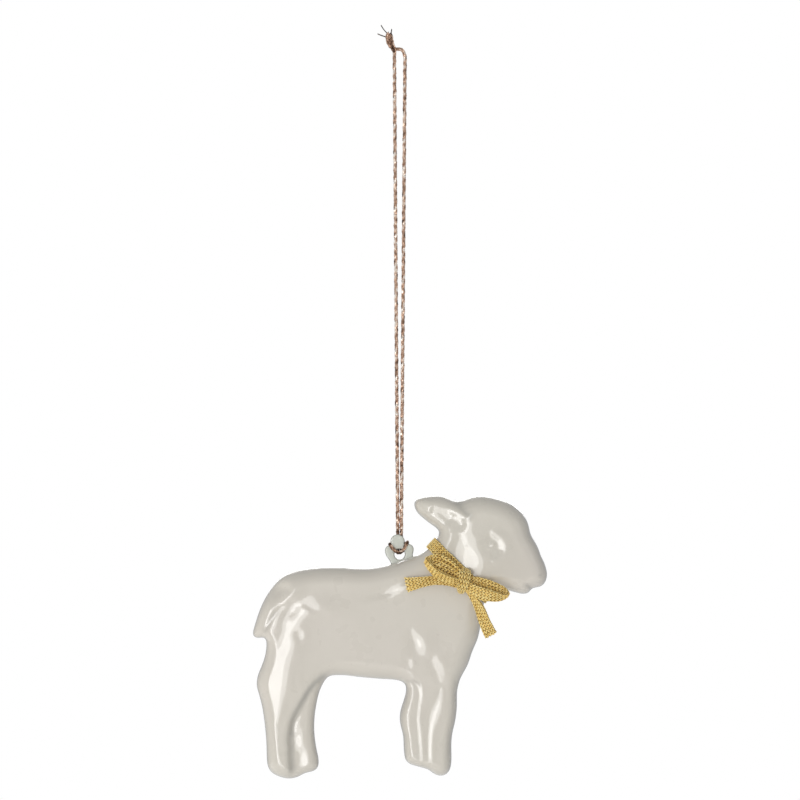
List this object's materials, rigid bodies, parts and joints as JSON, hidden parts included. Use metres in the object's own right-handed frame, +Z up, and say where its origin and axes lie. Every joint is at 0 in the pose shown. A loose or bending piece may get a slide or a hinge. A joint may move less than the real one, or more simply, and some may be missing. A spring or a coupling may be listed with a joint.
{
  "type": "hanging animal ornament",
  "caption": "Hanging lamb ornament: hollow enamelled metal lamb in profile on a long loop of metallic twine, with a knitted ribbon bow round its neck.",
  "frame": {"origin": "inner top of the twine loop, where a hook or peg carries it", "axes": "+X towards the lamb's nose, +Z up along the hanging twine, -Y towards the face that carries the bow"},
  "size_m": [0.0732, 0.0159, 0.1882],
  "materials": {
    "enamel": "gloss",
    "ribbon": "matte",
    "twine": "satin"
  },
  "bodies": {
    "hanger": {"twine_knot": "twine", "twine_ends": "twine", "twine_strand_left": "twine", "twine_strand_right": "twine"},
    "swivel": {"twine_neck_upper": "twine"},
    "tilter": {"twine_neck_lower": "twine"},
    "lamb": {"front_shell": "enamel", "back_shell": "enamel", "eyelet": "enamel", "ribbon_collar": "ribbon", "bow_knot": "ribbon", "bow_loop_left": "ribbon", "bow_loop_right": "ribbon", "bow_tail_left": "ribbon", "bow_tail_right": "ribbon", "twine_hitch": "twine"}
  },
  "joints": [
    {"name": "lamb_turn", "type": "hinge", "parent": "hanger", "child": "swivel", "pos_m": [0, 0, -0.1168], "axis": [0, 0, 1], "range_deg": [-180, 180]},
    {"name": "lamb_tip", "type": "hinge", "parent": "swivel", "child": "tilter", "pos_m": [0, 0, -0.1177], "axis": [1, 0, 0], "range_deg": [-20, 20]},
    {"name": "lamb_swing", "type": "hinge", "parent": "tilter", "child": "lamb", "pos_m": [0, 0, -0.1189], "axis": [0, 1, 0], "range_deg": [-18, 18]}
  ]
}
